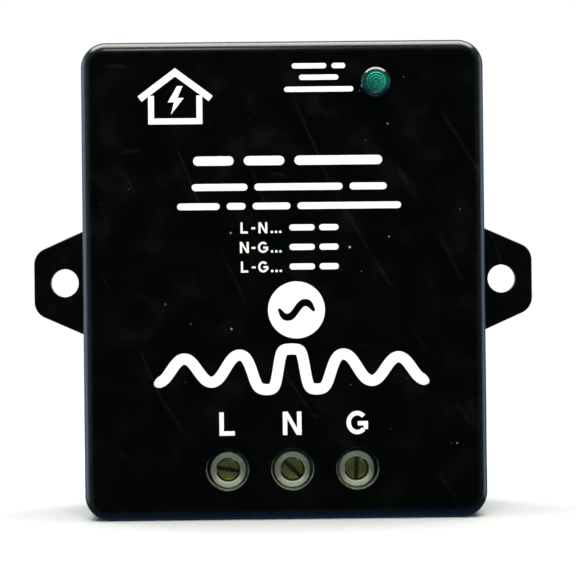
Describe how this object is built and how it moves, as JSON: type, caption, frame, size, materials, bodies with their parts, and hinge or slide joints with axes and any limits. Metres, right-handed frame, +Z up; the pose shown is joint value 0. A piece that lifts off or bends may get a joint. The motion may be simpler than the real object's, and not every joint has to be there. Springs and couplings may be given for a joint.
{
  "type": "whole house surge protector",
  "caption": "Wall-mounted surge protector: black moulded box on a plate with screw ears, round green indicator lens, and slotted clamp screws in nylon collars behind round access holes.",
  "frame": {"origin": "centre of the mounting plate's back face, on the wall", "axes": "+X to the right seen from the front, +Z up, the front face looks towards -Y, +Y into the wall"},
  "size_m": [0.127, 0.0396, 0.113],
  "materials": {
    "case_black": "satin black moulded thermoplastic with fine scratches and dust",
    "plate_black": "matt black moulded plate",
    "screw_steel": "zinc-plated steel",
    "fibre_sheet": "grey vulcanised fibre",
    "board_laminate": "green glass-epoxy laminate with tinned pads",
    "solder": "bright solder",
    "nylon_natural": "translucent natural nylon",
    "brass": "turned brass, lightly tarnished",
    "lens_green": "clear green moulded lens with concentric rings",
    "ring_steel": "spring steel",
    "lamp_green": "tinted epoxy lamp",
    "lead_tin": "tinned copper wire",
    "varistor_coat": "dipped blue epoxy coating",
    "cutoff_case": "ceramic-filled resin case",
    "fuse_ceramic": "white ceramic tube",
    "cap_nickel": "nickel-plated brass",
    "film_yellow": "yellow flame-retardant box",
    "disc_ochre": "dipped ochre ceramic disc",
    "resistor_coat": "grey-green cement coat",
    "diode_black": "black moulded epoxy",
    "print_white": "white screen-printed ink on the front"
  },
  "bodies": {
    "root": {"case_shell": "case_black", "mounting_plate": "plate_black", "plate_screws": "screw_steel", "insulating_sheet": "fibre_sheet", "circuit_board": "board_laminate", "board_screws": "screw_steel", "solder_joints": "solder", "terminal_housing_l": "nylon_natural", "terminal_body_l": "brass", "terminal_housing_n": "nylon_natural", "terminal_body_n": "brass", "terminal_housing_g": "nylon_natural", "terminal_body_g": "brass", "indicator_lens": "lens_green", "lens_retaining_ring": "ring_steel", "led_lamp": "lamp_green", "lamp_spacer": "nylon_natural", "lamp_leads": "lead_tin", "varistor_line_neutral": "varistor_coat", "varistor_neutral_ground": "varistor_coat", "varistor_line_ground": "varistor_coat", "varistor_leads": "lead_tin", "thermal_cutoffs": "cutoff_case", "thermal_cutoff_leads": "lead_tin", "line_fuse_tube": "fuse_ceramic", "neutral_fuse_tube": "fuse_ceramic", "fuse_caps": "cap_nickel", "fuse_leads": "lead_tin", "film_capacitor": "film_yellow", "disc_capacitors": "disc_ochre", "capacitor_leads": "lead_tin", "dropper_resistors": "resistor_coat", "resistor_leads": "lead_tin", "diode": "diode_black", "diode_leads": "lead_tin"},
    "pad_l": {"clamp_pad_l": "brass"},
    "pad_n": {"clamp_pad_n": "brass"},
    "pad_g": {"clamp_pad_g": "brass"},
    "screw_l": {"clamp_screw_l": "brass"},
    "screw_n": {"clamp_screw_n": "brass"},
    "screw_g": {"clamp_screw_g": "brass"}
  },
  "joints": [
    {"name": "pad_slide_l", "type": "slide", "parent": "root", "child": "pad_l", "axis": [0, 1, 0], "range_m": [-0.00028, 0.0042]},
    {"name": "screw_turn_l", "type": "hinge", "parent": "pad_l", "child": "screw_l", "pos_m": [-0.0138, -0.0292, -0.0451], "axis": [0, 1, 0], "range_deg": [-145, 2161]},
    {"name": "pad_slide_n", "type": "slide", "parent": "root", "child": "pad_n", "axis": [0, 1, 0], "range_m": [-0.00028, 0.0042]},
    {"name": "screw_turn_n", "type": "hinge", "parent": "pad_n", "child": "screw_n", "pos_m": [0.0015, -0.0292, -0.0451], "axis": [0, 1, 0], "range_deg": [-145, 2161]},
    {"name": "pad_slide_g", "type": "slide", "parent": "root", "child": "pad_g", "axis": [0, 1, 0], "range_m": [-0.00028, 0.0042]},
    {"name": "screw_turn_g", "type": "hinge", "parent": "pad_g", "child": "screw_g", "pos_m": [0.0168, -0.0292, -0.0451], "axis": [0, 1, 0], "range_deg": [-145, 2161]}
  ],
  "couplings": [
    {"joint": "screw_turn_l", "follows": "pad_slide_l", "rad_per_m": 8976},
    {"joint": "screw_turn_n", "follows": "pad_slide_n", "rad_per_m": 8976},
    {"joint": "screw_turn_g", "follows": "pad_slide_g", "rad_per_m": 8976}
  ]
}
